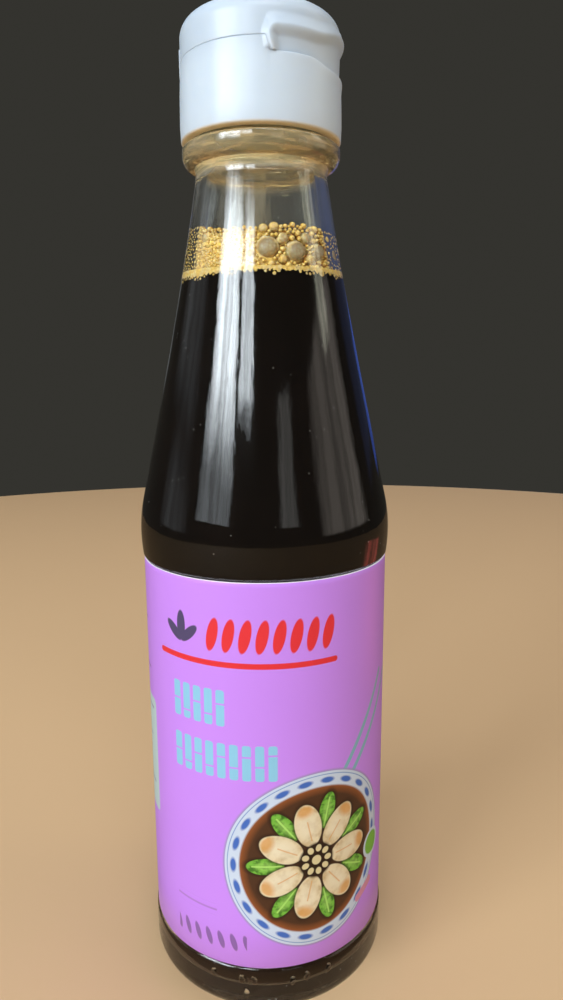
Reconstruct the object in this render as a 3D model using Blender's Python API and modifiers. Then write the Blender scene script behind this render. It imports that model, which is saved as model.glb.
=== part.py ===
"""A 200 ml glass bottle of soy sauce, shut with a flip-top cap.

The bottle stands on its base ring at z = 0 with its axis on +Z, and its front faces -Y.
Azimuths are in degrees from the front, positive towards +X. Lengths are in metres.
Run it with blender --background --python part.py, or from Blender's text editor.
"""

import math

import bmesh
import bpy
import numpy as np

MM = 0.001
GAP = 0.3 * MM
SEGMENTS = 52

# The whole bottle
TOTAL_HEIGHT = 189.6 * MM
WALL = 2.15 * MM

# Base and heel
HEEL_RADIUS = 25.3 * MM
HEEL_CORNER = 3.8 * MM
BEARING_WIDTH = 2.2 * MM
PUSH_UP_HEIGHT = 3.0 * MM
BASE_THICKNESS = 3.4 * MM
INNER_CORNER = 6.0 * MM
DOT_RADIUS = 0.62 * MM
DOT_HEIGHT = 8.5 * MM
LOW_DOT_HEIGHT = 5.5 * MM
DOT_AZIMUTHS = (-26.0, -12.5, -7.0, 10.5, 17.0, 28.0)
LOW_DOT_AZIMUTH = -10.0

# Label panel, a shallow recess between heel and shoulder
PANEL_RADIUS = 24.75 * MM
PANEL_BOTTOM = 10.4 * MM
PANEL_TOP = 90.05 * MM
PANEL_STEP = 0.3 * MM
LABEL_CLEARANCE = 0.25 * MM
LABEL_THICKNESS = 0.15 * MM

# Shoulder bulge and the long cone above it
SHOULDER_RADIUS = 25.5 * MM
SHOULDER_HEIGHT = 94.9 * MM
SHOULDER_UPPER_BEND = 30.0 * MM
SHOULDER_LOWER_BEND = 35.0 * MM
CONE_FOOT_SLOPE = 0.22
CONE_HEAD_SLOPE = 0.16
NECK_RADIUS = 12.5 * MM
NECK_HEIGHT = 163.2 * MM

# Glass ring under the cap, and the finish that the cap sits on
BEAD_RADIUS = 15.05 * MM
BEAD_BOTTOM = 163.7 * MM
BEAD_TOP = 167.9 * MM
BEAD_LOWER_ROUND = 2.2 * MM
BEAD_UPPER_ROUND = 0.5 * MM
FINISH_RADIUS = 13.1 * MM
FINISH_TOP = 180.0 * MM
FINISH_ROUND = 0.8 * MM
BORE_RADIUS = 9.6 * MM

# Contents
LIQUID_LEVEL = 144.1 * MM
FOAM_CORE_TOP = 149.3 * MM
FOAM_CORE_INSET = 0.9 * MM
FOAM_ROWS = ((145.8 * MM, 1.25 * MM), (147.8 * MM, 1.35 * MM), (149.7 * MM, 1.25 * MM))
FOAM_ROW_COUNT = 14
FOAM_TOP_COUNT = 11
FOAM_BIG_BUBBLES = ((4.0, 148.0 * MM, 2.2 * MM), (28.0, 147.5 * MM, 2.1 * MM), (52.0, 147.8 * MM, 1.7 * MM))
FOAM_TOP_REACH = 8.6 * MM
FOAM_SEED = 7
GOLDEN_ANGLE = 137.5

# Cap: a skirt on the finish, with a lid that meets it at the seam
CAP_BOTTOM = 168.7 * MM
CAP_BOTTOM_RADIUS = 15.15 * MM
CAP_BELLY_RADIUS = 15.25 * MM
CAP_BELLY_HEIGHT = 171.5 * MM
CAP_TOP_RADIUS = 14.95 * MM
CAP_RIM_RADIUS = 15.2 * MM
CAP_INNER_RADIUS = 13.45 * MM
CAP_EDGE = 0.4 * MM
SEAM_HEIGHT = 182.26 * MM
LID_RADIUS = 14.93 * MM
LID_TOP_ROUND = 3.1 * MM

# Thumb lip on the lid, the shallow recess under it, and the strap hinge opposite
LIP_AZIMUTH = 85.0
LIP_HALF_ANGLE = 81.0
LIP_STEPS = 22
LIP_RADIUS = 15.45 * MM
LIP_EDGE = 0.25 * MM
LIP_ARCH_HEIGHT = 3.0 * MM
LIP_ARCH_SHARE = 0.62
LIP_UNDERCUT = 1.3 * MM
LIP_BAND_MIDDLE = 1.5 * MM
LIP_BAND_END = 2.3 * MM
RECESS_END_DEPTH = 2.5 * MM
RECESS_MIDDLE_DEPTH = 3.9 * MM
RECESS_FLOOR_RADIUS = 14.7 * MM
RECESS_STEP = 0.35 * MM
HINGE_AZIMUTH = LIP_AZIMUTH + 180.0
HINGE_HALF_ANGLE = 14.0
HINGE_BOTTOM = 179.9 * MM
HINGE_TOP = 184.8 * MM
HINGE_INNER_RADIUS = 14.2 * MM
HINGE_OUTER_RADIUS = 15.1 * MM


def clear_scene():
    """Removes whatever the scene holds."""
    for obj in list(bpy.data.objects):
        bpy.data.objects.remove(obj, do_unlink=True)


def new_collection(name, hidden=False):
    """A collection in the scene, left out of renders if hidden."""
    collection = bpy.data.collections.new(name)
    bpy.context.scene.collection.children.link(collection)
    collection.hide_render = hidden
    return collection


def new_material(name, colour, roughness, metallic=0.0, transmission=0.0):
    """A Principled material of one colour."""
    material = bpy.data.materials.new(name)
    material.use_nodes = True
    shader = material.node_tree.nodes["Principled BSDF"]
    shader.inputs["Base Color"].default_value = (*colour, 1.0)
    shader.inputs["Roughness"].default_value = roughness
    shader.inputs["Metallic"].default_value = metallic
    shader.inputs["Transmission Weight"].default_value = transmission
    material.diffuse_color = (*colour, 1.0)
    return material


def arc(centre, radius, start, end, steps):
    """Points (r, z) on an arc, from angle start to end in degrees, 0 pointing outwards and 90 up."""
    angles = np.radians(np.linspace(start, end, steps + 1))
    return [(centre[0] + radius * math.cos(a), centre[1] + radius * math.sin(a)) for a in angles]


def shoulder_bend_angle():
    """How far, in degrees, the upper shoulder bends from upright into the cone."""
    return math.degrees(math.atan(CONE_FOOT_SLOPE))


def cone_foot():
    """(r, z) where the shoulder's upper arc ends and the cone starts."""
    centre = (SHOULDER_RADIUS - SHOULDER_UPPER_BEND, SHOULDER_HEIGHT)
    return arc(centre, SHOULDER_UPPER_BEND, shoulder_bend_angle(), shoulder_bend_angle(), 1)[0]


def cone_radius(height):
    """Outer radius of the cone: nearly straight, a little hollow towards the neck."""
    foot_radius, foot_height = cone_foot()
    rise = NECK_HEIGHT - foot_height
    t = (height - foot_height) / rise
    start = (2 * t**3 - 3 * t**2 + 1) * foot_radius - (t**3 - 2 * t**2 + t) * rise * CONE_FOOT_SLOPE
    end = (3 * t**2 - 2 * t**3) * NECK_RADIUS - (t**3 - t**2) * rise * CONE_HEAD_SLOPE
    return start + end


def cone_points(top, steps, inset):
    """Points down the cone from a height to its foot, moved in by inset."""
    heights = np.linspace(top, cone_foot()[1], steps + 1)[:-1]
    return [(cone_radius(z) - inset, z) for z in heights]


def shoulder_points(inset):
    """Points down the shoulder, round its bulge, to just over the label panel."""
    upper_centre = (SHOULDER_RADIUS - SHOULDER_UPPER_BEND, SHOULDER_HEIGHT)
    lower_centre = (SHOULDER_RADIUS - SHOULDER_LOWER_BEND, SHOULDER_HEIGHT)
    drop = SHOULDER_HEIGHT - PANEL_TOP - PANEL_STEP
    lower_angle = math.degrees(math.asin(drop / SHOULDER_LOWER_BEND))
    upper = arc(upper_centre, SHOULDER_UPPER_BEND - inset, shoulder_bend_angle(), 0.0, 2)
    return upper + arc(lower_centre, SHOULDER_LOWER_BEND - inset, 0.0, -lower_angle, 2)[1:]


def bottle_outside():
    """Outer profile of the glass, from the lip down to the middle of the base."""
    lip_centre = (FINISH_RADIUS - FINISH_ROUND, FINISH_TOP - FINISH_ROUND)
    upper_bead = (BEAD_RADIUS - BEAD_UPPER_ROUND, BEAD_TOP - BEAD_UPPER_ROUND)
    lower_bead = (BEAD_RADIUS - BEAD_LOWER_ROUND, BEAD_BOTTOM + BEAD_LOWER_ROUND)
    points = arc(lip_centre, FINISH_ROUND, 90.0, 0.0, 2)
    points += [(FINISH_RADIUS, BEAD_TOP)]
    points += arc(upper_bead, BEAD_UPPER_ROUND, 90.0, 0.0, 2)
    points += arc(lower_bead, BEAD_LOWER_ROUND, 0.0, -90.0, 3)
    points += cone_points(NECK_HEIGHT, 6, 0.0)
    points += shoulder_points(0.0)
    points += [(PANEL_RADIUS, PANEL_TOP), (PANEL_RADIUS, PANEL_BOTTOM)]
    points += [(HEEL_RADIUS - PANEL_STEP / 2, PANEL_BOTTOM - PANEL_STEP)]
    points += [(HEEL_RADIUS, DOT_HEIGHT)]
    points += arc((HEEL_RADIUS - HEEL_CORNER, HEEL_CORNER), HEEL_CORNER, 0.0, -90.0, 4)
    bearing_inside = HEEL_RADIUS - HEEL_CORNER - BEARING_WIDTH
    points += [(bearing_inside, 0.0)]
    points += dome_points(bearing_inside - 0.8 * MM, 0.7 * MM, PUSH_UP_HEIGHT, 3)
    return points


def dome_points(edge_radius, edge_height, top_height, steps):
    """Points up a shallow dome from its edge to the axis."""
    rise = top_height - edge_height
    radii = np.linspace(edge_radius, 0.0, steps + 1)
    return [(r, top_height - rise * (r / edge_radius) ** 2) for r in radii]


def hollow_profile(top, inset):
    """Inner profile of the glass below a height, down to the middle of the floor, moved in by inset."""
    wall = WALL + inset
    corner = (PANEL_RADIUS - WALL - INNER_CORNER, BASE_THICKNESS + INNER_CORNER)
    points = cone_points(top, 5, wall)
    points += shoulder_points(wall)
    points += [(PANEL_RADIUS - wall, PANEL_TOP - 4.0 * MM)]
    points += arc(corner, INNER_CORNER - inset, 0.0, -80.0, 3)
    edge_radius, edge_height = points[-1]
    floor_top = PUSH_UP_HEIGHT + BASE_THICKNESS + inset
    return points + dome_points(edge_radius, edge_height, floor_top, 3)[1:]


def bottle_profile():
    """Closed section of the glass: up the inside from the axis, over the lip and down the outside."""
    inside = hollow_profile(NECK_HEIGHT, 0.0)
    bore = [(BORE_RADIUS, FINISH_TOP - FINISH_ROUND), (BORE_RADIUS, BEAD_TOP)]
    lip_centre = (BORE_RADIUS + FINISH_ROUND, FINISH_TOP - FINISH_ROUND)
    rim = arc(lip_centre, FINISH_ROUND, 180.0, 90.0, 2)
    return inside[::-1] + bore[::-1][:1] + rim + bottle_outside()


def turned(name, profile, closed=False):
    """A solid of revolution from a profile of (r, z), by a Screw modifier."""
    mesh = bpy.data.meshes.new(name)
    edges = [(i, i + 1) for i in range(len(profile) - 1)]
    if closed:
        edges.append((len(profile) - 1, 0))
    mesh.from_pydata([(r, 0.0, z) for r, z in profile], edges, [])
    obj = bpy.data.objects.new(name, mesh)
    bpy.context.scene.collection.objects.link(obj)
    screw = obj.modifiers.new("turn", "SCREW")
    screw.axis = "Z"
    screw.steps = SEGMENTS
    screw.render_steps = SEGMENTS
    screw.use_merge_vertices = True
    screw.merge_threshold = 0.005 * MM
    return obj


def partial_ring(name, sections, azimuth, half_angle):
    """A solid swept round part of the axis, through closed sections of (r, z) at even steps."""
    mesh = bpy.data.meshes.new(name)
    body = bmesh.new()
    rings = []
    for turn, section in zip(np.linspace(-1.0, 1.0, len(sections)), sections):
        angle = azimuth + turn * half_angle
        rings.append([body.verts.new(on_circle(angle, r, z)) for r, z in section])
    for ring, following in zip(rings, rings[1:]):
        for i in range(len(ring)):
            body.faces.new((ring[i - 1], ring[i], following[i], following[i - 1]))
    body.faces.new(rings[0])
    body.faces.new(rings[-1])
    bmesh.ops.recalc_face_normals(body, faces=body.faces)
    body.to_mesh(mesh)
    body.free()
    obj = bpy.data.objects.new(name, mesh)
    bpy.context.scene.collection.objects.link(obj)
    return obj


def make_helper(obj, collection):
    """Moves a cutter or guide to its collection, left out of renders."""
    for owner in list(obj.users_collection):
        owner.objects.unlink(obj)
    collection.objects.link(obj)
    obj.hide_render = True
    obj.display_type = "WIRE"


def boolean(obj, other, operation):
    """Adds a Boolean with another object or a whole collection."""
    modifier = obj.modifiers.new(operation.lower(), "BOOLEAN")
    modifier.operation = operation
    modifier.solver = "EXACT"
    if isinstance(other, bpy.types.Collection):
        modifier.operand_type = "COLLECTION"
        modifier.collection = other
    else:
        modifier.object = other


def bake(obj):
    """Applies the object's modifiers to its mesh."""
    bpy.context.view_layer.update()
    graph = bpy.context.evaluated_depsgraph_get()
    old = obj.data
    obj.data = bpy.data.meshes.new_from_object(obj.evaluated_get(graph))
    obj.modifiers.clear()
    obj.data.name = obj.name
    bpy.data.meshes.remove(old)


def complete(obj, collection, material):
    """Applies the modifiers, shades the object smooth, and files it with its material."""
    bake(obj)
    obj.data.materials.clear()
    obj.data.materials.append(material)
    obj.data.shade_smooth()
    obj.data.set_sharp_from_angle(angle=math.radians(38.0))
    for owner in list(obj.users_collection):
        owner.objects.unlink(obj)
    collection.objects.link(obj)


def on_circle(azimuth, radius, height):
    """A point at an azimuth, in metres."""
    angle = math.radians(azimuth)
    return (radius * math.sin(angle), -radius * math.cos(angle), height)


def add_ball(name, place, radius, collection):
    """A small faceted ball, used as a raised dot or a bubble."""
    mesh = bpy.data.meshes.new(name)
    body = bmesh.new()
    bmesh.ops.create_icosphere(body, subdivisions=1, radius=radius)
    body.to_mesh(mesh)
    body.free()
    obj = bpy.data.objects.new(name, mesh)
    obj.location = place
    bpy.context.scene.collection.objects.link(obj)
    make_helper(obj, collection)


def fuse(obj, collection):
    """Joins a collection's objects to the object, then removes them."""
    boolean(obj, collection, "UNION")
    bake(obj)
    for helper in list(collection.objects):
        bpy.data.objects.remove(helper, do_unlink=True)
    bpy.data.collections.remove(collection)


def make_bottle(parts):
    """The glass, with its raised mould dots round the heel."""
    bottle = turned("bottle", bottle_profile())
    bake(bottle)
    dots = new_collection("heel_dots", hidden=True)
    sink = 0.25 * DOT_RADIUS
    for azimuth in DOT_AZIMUTHS + tuple(180.0 - a for a in DOT_AZIMUTHS):
        place = on_circle(azimuth, HEEL_RADIUS - sink, DOT_HEIGHT)
        add_ball("dot", place, DOT_RADIUS, dots)
    low_place = on_circle(LOW_DOT_AZIMUTH, HEEL_RADIUS - 2.0 * sink, LOW_DOT_HEIGHT)
    add_ball("low_dot", low_place, DOT_RADIUS, dots)
    fuse(bottle, dots)
    glass = new_material("clear_glass", (0.93, 0.95, 0.88), 0.03, transmission=1.0)
    complete(bottle, parts, glass)


def make_sauce(parts):
    """The sauce, up to its level."""
    profile = [(0.0, LIQUID_LEVEL)] + hollow_profile(LIQUID_LEVEL, GAP)
    sauce = turned("soy_sauce", profile)
    complete(sauce, parts, new_material("soy_sauce", (0.02, 0.008, 0.004), 0.1))


def foam_bubbles(collection):
    """Bubbles round the foam's side in rows, larger ones at the front, and some on its top."""
    random = np.random.default_rng(FOAM_SEED)
    step = 360.0 / FOAM_ROW_COUNT
    for row, (height, size) in enumerate(FOAM_ROWS):
        for i in range(FOAM_ROW_COUNT):
            azimuth = (i + 0.5 * row) * step + random.uniform(-5.0, 5.0)
            radius = size * random.uniform(0.85, 1.1)
            add_wall_bubble(azimuth, height + random.uniform(-0.3, 0.3) * MM, radius, collection)
    for azimuth, height, radius in FOAM_BIG_BUBBLES:
        add_wall_bubble(azimuth, height, radius, collection)
    for i in range(FOAM_TOP_COUNT):
        out = FOAM_TOP_REACH * math.sqrt((i + 0.5) / FOAM_TOP_COUNT)
        radius = random.uniform(1.3, 2.1) * MM
        place = on_circle(i * GOLDEN_ANGLE, out, FOAM_CORE_TOP + 0.1 * radius)
        add_ball("bubble", place, radius, collection)


def add_wall_bubble(azimuth, height, radius, collection):
    """A bubble that just reaches the clearance inside the glass."""
    room = cone_radius(height + 0.6 * radius) - WALL - GAP - radius
    add_ball("bubble", on_circle(azimuth, room, height), radius, collection)


def make_foam(parts):
    """The foam on the sauce: a core with its bubbles fused on."""
    bottom = LIQUID_LEVEL + GAP
    inset = WALL + GAP + FOAM_CORE_INSET
    profile = [
        (0.0, FOAM_CORE_TOP),
        (cone_radius(FOAM_CORE_TOP) - inset, FOAM_CORE_TOP),
        (cone_radius(bottom) - inset, bottom),
        (0.0, bottom),
    ]
    foam = turned("foam", profile)
    bake(foam)
    bubbles = new_collection("foam_bubbles", hidden=True)
    foam_bubbles(bubbles)
    fuse(foam, bubbles)
    trim_below(foam, bottom)
    complete(foam, parts, new_material("foam", (0.75, 0.5, 0.18), 0.35))


def trim_below(obj, height):
    """Cuts the object flat at a height and closes the cut."""
    body = bmesh.new()
    body.from_mesh(obj.data)
    geometry = list(body.verts) + list(body.edges) + list(body.faces)
    cut = bmesh.ops.bisect_plane(
        body, geom=geometry, plane_co=(0.0, 0.0, height), plane_no=(0.0, 0.0, -1.0), clear_outer=True
    )
    edges = [item for item in cut["geom_cut"] if isinstance(item, bmesh.types.BMEdge)]
    bmesh.ops.holes_fill(body, edges=[edge for edge in edges if edge.is_boundary])
    bmesh.ops.triangulate(body, faces=body.faces)
    body.to_mesh(obj.data)
    body.free()


def make_label(parts):
    """The paper label, wrapped right round the panel."""
    inside = PANEL_RADIUS + LABEL_CLEARANCE
    outside = inside + LABEL_THICKNESS
    top = PANEL_TOP - GAP
    bottom = PANEL_BOTTOM + GAP
    section = [(inside, top), (outside, top), (outside, bottom), (inside, bottom)]
    label = turned("label", section, closed=True)
    complete(label, parts, new_material("label_paper", (0.62, 0.32, 0.9), 0.35))


def cap_profile():
    """Section of the cap's skirt and deck: from the axis out, down the side, and up inside the skirt."""
    top = SEAM_HEIGHT - GAP / 2
    rim_centre = (CAP_RIM_RADIUS - CAP_EDGE, top - CAP_EDGE)
    bottom_centre = (CAP_BOTTOM_RADIUS - CAP_EDGE, CAP_BOTTOM + CAP_EDGE)
    deck = FINISH_TOP + GAP
    points = [(0.0, top)]
    points += arc(rim_centre, CAP_EDGE, 90.0, -45.0, 3)
    points += [(CAP_TOP_RADIUS, top - 3.0 * CAP_EDGE)]
    points += [(CAP_BELLY_RADIUS - 0.07 * MM, (CAP_BELLY_HEIGHT + top) / 2)]
    points += [(CAP_BELLY_RADIUS, CAP_BELLY_HEIGHT)]
    points += arc(bottom_centre, CAP_EDGE, 0.0, -90.0, 2)
    points += [(CAP_INNER_RADIUS, CAP_BOTTOM), (CAP_INNER_RADIUS, deck), (0.0, deck)]
    return points


def lip_turns():
    """Places along the thumb lip, from -1 at its left end to 1 at its right."""
    return np.linspace(-1.0, 1.0, LIP_STEPS + 1)


def arch(turn):
    """How far the lip has risen: 0 along its ends, 1 in its middle."""
    return math.cos(0.5 * math.pi * min(1.0, abs(turn) / LIP_ARCH_SHARE)) ** 2


def recess_section(turn):
    """Section of what is cut from the cap under the lip: its wall leans in downwards to a small step."""
    depth = RECESS_END_DEPTH + (RECESS_MIDDLE_DEPTH - RECESS_END_DEPTH) * arch(turn * LIP_ARCH_SHARE)
    floor = SEAM_HEIGHT - depth
    outside = CAP_BELLY_RADIUS + 3.0 * MM
    return [
        (outside, SEAM_HEIGHT + GAP),
        (CAP_RIM_RADIUS - 0.05 * MM, SEAM_HEIGHT + GAP),
        (RECESS_FLOOR_RADIUS, floor + RECESS_STEP),
        (CAP_BELLY_RADIUS, floor),
        (outside, floor),
    ]


def hinge_section(inner, outer, bottom):
    """Section of the hinge strap, or of the pocket it lies in."""
    return [(inner, HINGE_TOP), (outer, HINGE_TOP), (outer, bottom), (inner, bottom)]


def make_cap(parts, cutters):
    """The skirt of the cap, with the recess under the thumb lip and the hinge's pocket cut in it."""
    cap = turned("cap", cap_profile())
    bake(cap)
    sections = [recess_section(turn) for turn in lip_turns()]
    recess = partial_ring("lip_recess", sections, LIP_AZIMUTH, LIP_HALF_ANGLE)
    section = hinge_section(HINGE_INNER_RADIUS - GAP, CAP_BELLY_RADIUS + 3.0 * MM, HINGE_BOTTOM - GAP)
    clearance = math.degrees(GAP / CAP_TOP_RADIUS)
    pocket = partial_ring("hinge_pocket", [section] * 9, HINGE_AZIMUTH, HINGE_HALF_ANGLE + clearance)
    for cutter in (recess, pocket):
        make_helper(cutter, cutters)
        boolean(cap, cutter, "DIFFERENCE")
    complete(cap, parts, new_material("white_plastic", (0.86, 0.9, 0.95), 0.3))


def lid_profile():
    """Section of the lid: flat top, rounded edge, upright side."""
    bottom = SEAM_HEIGHT + GAP / 2
    centre = (LID_RADIUS - LID_TOP_ROUND, TOTAL_HEIGHT - LID_TOP_ROUND)
    points = [(0.0, TOTAL_HEIGHT)]
    points += arc(centre, LID_TOP_ROUND, 90.0, 0.0, 6)
    points += [(LID_RADIUS, bottom + CAP_EDGE / 2), (LID_RADIUS - CAP_EDGE / 2, bottom), (0.0, bottom)]
    return points


def lip_section(turn):
    """Section of the thumb lip, which flares out of the lid's side to a blunt edge and turns back under."""
    inside = LID_RADIUS - 1.5 * MM
    root = LID_RADIUS - 0.02 * MM
    bottom = SEAM_HEIGHT + GAP / 2 + 0.02 * MM
    edge = bottom + 0.1 * MM + LIP_ARCH_HEIGHT * arch(turn)
    top = edge + LIP_EDGE + LIP_BAND_END + (LIP_BAND_MIDDLE - LIP_BAND_END) * math.cos(0.5 * math.pi * turn)
    under = max(bottom, edge - LIP_UNDERCUT)
    points = [(inside, top)]
    for t in np.linspace(0.0, 1.0, 5):
        points.append((root + (LIP_RADIUS - root) * t**2, top + (edge + LIP_EDGE - top) * t))
    return points + [(LIP_RADIUS - LIP_EDGE / 2, edge), (root, under), (inside, under)]


def make_lid(parts):
    """The shut lid, with its thumb lip and its hinge strap."""
    lid = turned("cap_lid", lid_profile())
    bake(lid)
    sections = [lip_section(turn) for turn in lip_turns()]
    lip = partial_ring("lip", sections, LIP_AZIMUTH, LIP_HALF_ANGLE)
    section = hinge_section(HINGE_INNER_RADIUS, HINGE_OUTER_RADIUS, HINGE_BOTTOM)
    strap = partial_ring("strap", [section] * 9, HINGE_AZIMUTH, HINGE_HALF_ANGLE)
    additions = new_collection("lid_additions", hidden=True)
    for piece in (lip, strap):
        make_helper(piece, additions)
    fuse(lid, additions)
    complete(lid, parts, new_material("white_plastic_lid", (0.86, 0.9, 0.95), 0.3))


def main():
    clear_scene()
    parts = new_collection("soy_sauce_bottle")
    cutters = new_collection("cutters", hidden=True)
    make_bottle(parts)
    make_sauce(parts)
    make_foam(parts)
    make_label(parts)
    make_cap(parts, cutters)
    make_lid(parts)


main()
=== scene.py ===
"""Looks of a 200 ml glass bottle of soy sauce with a flip-top cap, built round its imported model.

Profiles are lists of (radius, height) in millimetres. Azimuths are in degrees from the front,
which faces -Y, positive towards +X.
"""

import math

import bmesh
import bpy
import numpy as np
from mathutils import Matrix, Vector


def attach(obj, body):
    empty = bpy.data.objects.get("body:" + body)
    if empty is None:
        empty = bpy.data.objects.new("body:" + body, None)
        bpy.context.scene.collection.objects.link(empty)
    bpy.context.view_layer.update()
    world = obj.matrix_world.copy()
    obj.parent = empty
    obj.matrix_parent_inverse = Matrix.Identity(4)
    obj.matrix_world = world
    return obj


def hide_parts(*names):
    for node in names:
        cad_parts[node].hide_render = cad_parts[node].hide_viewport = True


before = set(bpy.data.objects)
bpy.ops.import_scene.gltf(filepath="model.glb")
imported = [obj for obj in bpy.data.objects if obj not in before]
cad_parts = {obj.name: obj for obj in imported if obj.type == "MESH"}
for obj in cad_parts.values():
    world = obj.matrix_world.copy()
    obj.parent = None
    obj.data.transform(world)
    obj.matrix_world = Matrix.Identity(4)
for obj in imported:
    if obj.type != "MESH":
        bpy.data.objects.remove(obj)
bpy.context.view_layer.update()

MM = 0.001
TURN_STEPS = 240
EVEN_AZIMUTHS = list(np.linspace(0.0, 360.0, TURN_STEPS, endpoint=False))
FLAT_RING = 6.0

# Glass
TOTAL_HEIGHT = 189.6
WALL = 2.15
HEEL_RADIUS = 25.3
HEEL_CORNER = 3.8
BEARING_WIDTH = 2.2
PUSH_UP_HEIGHT = 3.0
BASE_THICKNESS = 3.4
INNER_CORNER = 6.0
PANEL_RADIUS = 24.75
PANEL_BOTTOM = 10.4
PANEL_TOP = 90.05
PANEL_STEP = 0.3
PANEL_ROUND = 0.15
SHOULDER_RADIUS = 25.5
SHOULDER_HEIGHT = 94.9
SHOULDER_UPPER_BEND = 30.0
SHOULDER_LOWER_BEND = 35.0
CONE_FOOT_SLOPE = 0.22
CONE_HEAD_SLOPE = 0.16
CONE_FOOT_ANGLE = math.degrees(math.atan(CONE_FOOT_SLOPE))
NECK_RADIUS = 12.5
NECK_HEIGHT = 163.2
BEAD_RADIUS = 15.05
BEAD_BOTTOM = 164.2
BEAD_TOP = 167.9
BEAD_LOWER_ROUND = 2.2
BEAD_UPPER_ROUND = 0.5
FINISH_RADIUS = 13.1
FINISH_TOP = 180.0
FINISH_ROUND = 0.8
BORE_RADIUS = 9.6
# The heel's upper edge: how far in from its radius, and how far under the panel
HEEL_TURN = ((0.15, PANEL_STEP), (0.06, 0.6), (0.015, 1.1), (0.0, 1.8), (0.0, 4.0))
# Mould dots: azimuth, height and size
DOT_PLACES = (
    (-26.0, 8.1, 1.0), (-12.5, 8.1, 1.0), (-9.4, 8.6, 0.6), (-7.0, 8.1, 1.0), (10.5, 7.6, 1.0),
    (17.0, 8.1, 1.0), (28.0, 8.1, 1.0), (-10.3, 4.9, 1.0),
)
DOT_RADIUS = 0.76
DOT_STRETCH = 1.6
DOT_SINK = 0.38
DOT_CORNER_HEIGHT = 6.0

# Contents
LIQUID_LEVEL = 144.1
MENISCUS = 0.9
WALL_BITE = 0.06
FOAM_SEED = 11
FOAM_TOP = 152.3
WALL_TRIES = 60000
COARSE_AZIMUTH = 30.0
# The largest bubbles on the wall: azimuth, height and radius
LARGE_BUBBLES = (
    (4.0, 148.3, 2.3), (28.0, 147.7, 2.2), (50.0, 147.9, 1.8), (17.0, 149.9, 1.15), (38.0, 150.1, 1.2),
    (-52.0, 150.6, 1.1), (1.0, 151.6, 0.9), (10.0, 151.9, 0.95), (-8.0, 150.6, 0.8), (62.0, 150.4, 0.9),
    (16.0, 146.3, 0.9), (40.0, 146.4, 1.0), (-9.0, 147.2, 1.0), (70.0, 147.6, 1.5), (84.0, 148.6, 1.2),
)
CORE_TOP = 151.0
CORE_GAP = 0.22
CORE_HOLLOW = 1.1
TOP_BUBBLES = 260
TOP_REACH = 11.6
TOP_LEVEL = 151.4
GOLDEN_ANGLE = 2.39996
FRINGE_STEPS = 900
FRINGE_TOP = 145.1

# Label
LABEL_INNER_RADIUS = 24.77
LABEL_RADIUS = 25.15
LABEL_TOP = 89.75
LABEL_BOTTOM = 10.7
PAPER_STEP = 0.12
OVERLAP_AZIMUTH = 172.0
OVERLAP_HALF_ANGLE = 12.0

# Printed design: places are (azimuth, height), pitches are in millimetres
FRIEZE_ENDS = (-27.0, 31.0)
FRIEZE_HEIGHT = 79.6
FRIEZE_COUNT = 8
SPRIG_PLACE = (-39.5, 77.0)
BAR_PLACE = (-11.0, 74.0)
CANE_START = -46.0
CANE_PITCH = 2.5
CANE_ROWS = ((65.3, 5), (54.7, 9))
STEM_PLACE = (45.0, 55.0)
DISC_PLACE = (22.0, 33.2)
DISC_RADIUS = 18.4
PETALS = 7
INSET_PLACE = (59.0, 29.5)
RIBBON_PLACE = (52.0, 20.5)
SEED_START = -47.0
SEED_PITCH = 2.7
SEED_HEIGHT = 15.9
FINE_HEIGHT = 22.3
FINE_PITCH = 1.5
RULE_PITCH = 3.4
# Ruled panels: azimuth, height, half angle, half height, and whether filled
RULED_PANELS = (
    (-105.0, 48.5, 41.0, 12.5, True), (-97.0, 74.0, 32.0, 9.5, False), (118.0, 50.0, 40.0, 30.0, True),
)

# Cap
CAP_BOTTOM = 168.7
CAP_BOTTOM_RADIUS = 15.15
CAP_BELLY_RADIUS = 15.25
CAP_BELLY_HEIGHT = 171.5
CAP_TOP_RADIUS = 14.95
CAP_INNER_RADIUS = 13.45
CAP_EDGE = 0.4
SEAM_ROUND = 0.13
SEAM_HEIGHT = 182.26
SEAM_GAP = 0.3
SEAM_LINE = 0.04
LID_RADIUS = 14.93
LID_TOP_ROUND = 3.1
LID_INNER_EDGE = 13.95
LIP_AZIMUTH = 85.0
LIP_HALF_ANGLE = 81.0
LIP_OUT = 0.65
LIP_TURN_IN = 1.9
LIP_EDGE = 184.0
SCOOP_BOTTOM = 179.9
SCOOP_DEPTH = 0.6
RIM_INNER_EDGE = 13.6
HINGE_AZIMUTH = LIP_AZIMUTH + 180.0
HINGE_HALF_ANGLE = 14.0
POCKET_HALF_ANGLE = HINGE_HALF_ANGLE + math.degrees(SEAM_GAP / CAP_TOP_RADIUS)
HINGE_BOTTOM = 179.9
HINGE_TOP = 184.8
HINGE_INNER_RADIUS = 14.2
HINGE_OUTER_RADIUS = 15.1

# Colours of the glass and the contents
GLASS_TINT = (0.965, 0.98, 0.94)
# Painted light: tan and amber for the glass at the bead, standing in for warm light seen through it
BEAD_PAINTED_LIGHT = (0.95, 0.86, 0.55)
BEAD_PAINTED_AMBER = (1.0, 0.78, 0.42)
DUST = (0.75, 0.74, 0.7)
SAUCE = (0.008, 0.004, 0.003)
SAUCE_DARK = (0.003, 0.0022, 0.0018)
SAUCE_CLOUD = (0.006, 0.0038, 0.0028)
# Painted light: the brown of the sauce near the bottom, standing in for warm light from the table
SAUCE_PAINTED_HEEL_LIGHT = (0.075, 0.036, 0.018)
FOAM_GOLD = (0.8, 0.53, 0.14)
FOAM_PALE = (0.74, 0.57, 0.26)
FOAM_CLEAR = (0.72, 0.66, 0.45)
# Painted highlight: a pale ring near the edge of each large bubble
FOAM_PAINTED_GLINT = (0.93, 0.82, 0.5)
# Amber of the liquid where bubbles meet and of the froth's darker cells, also painted shade at each
# bubble's edge
FOAM_AMBER = (0.46, 0.2, 0.03)

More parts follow.
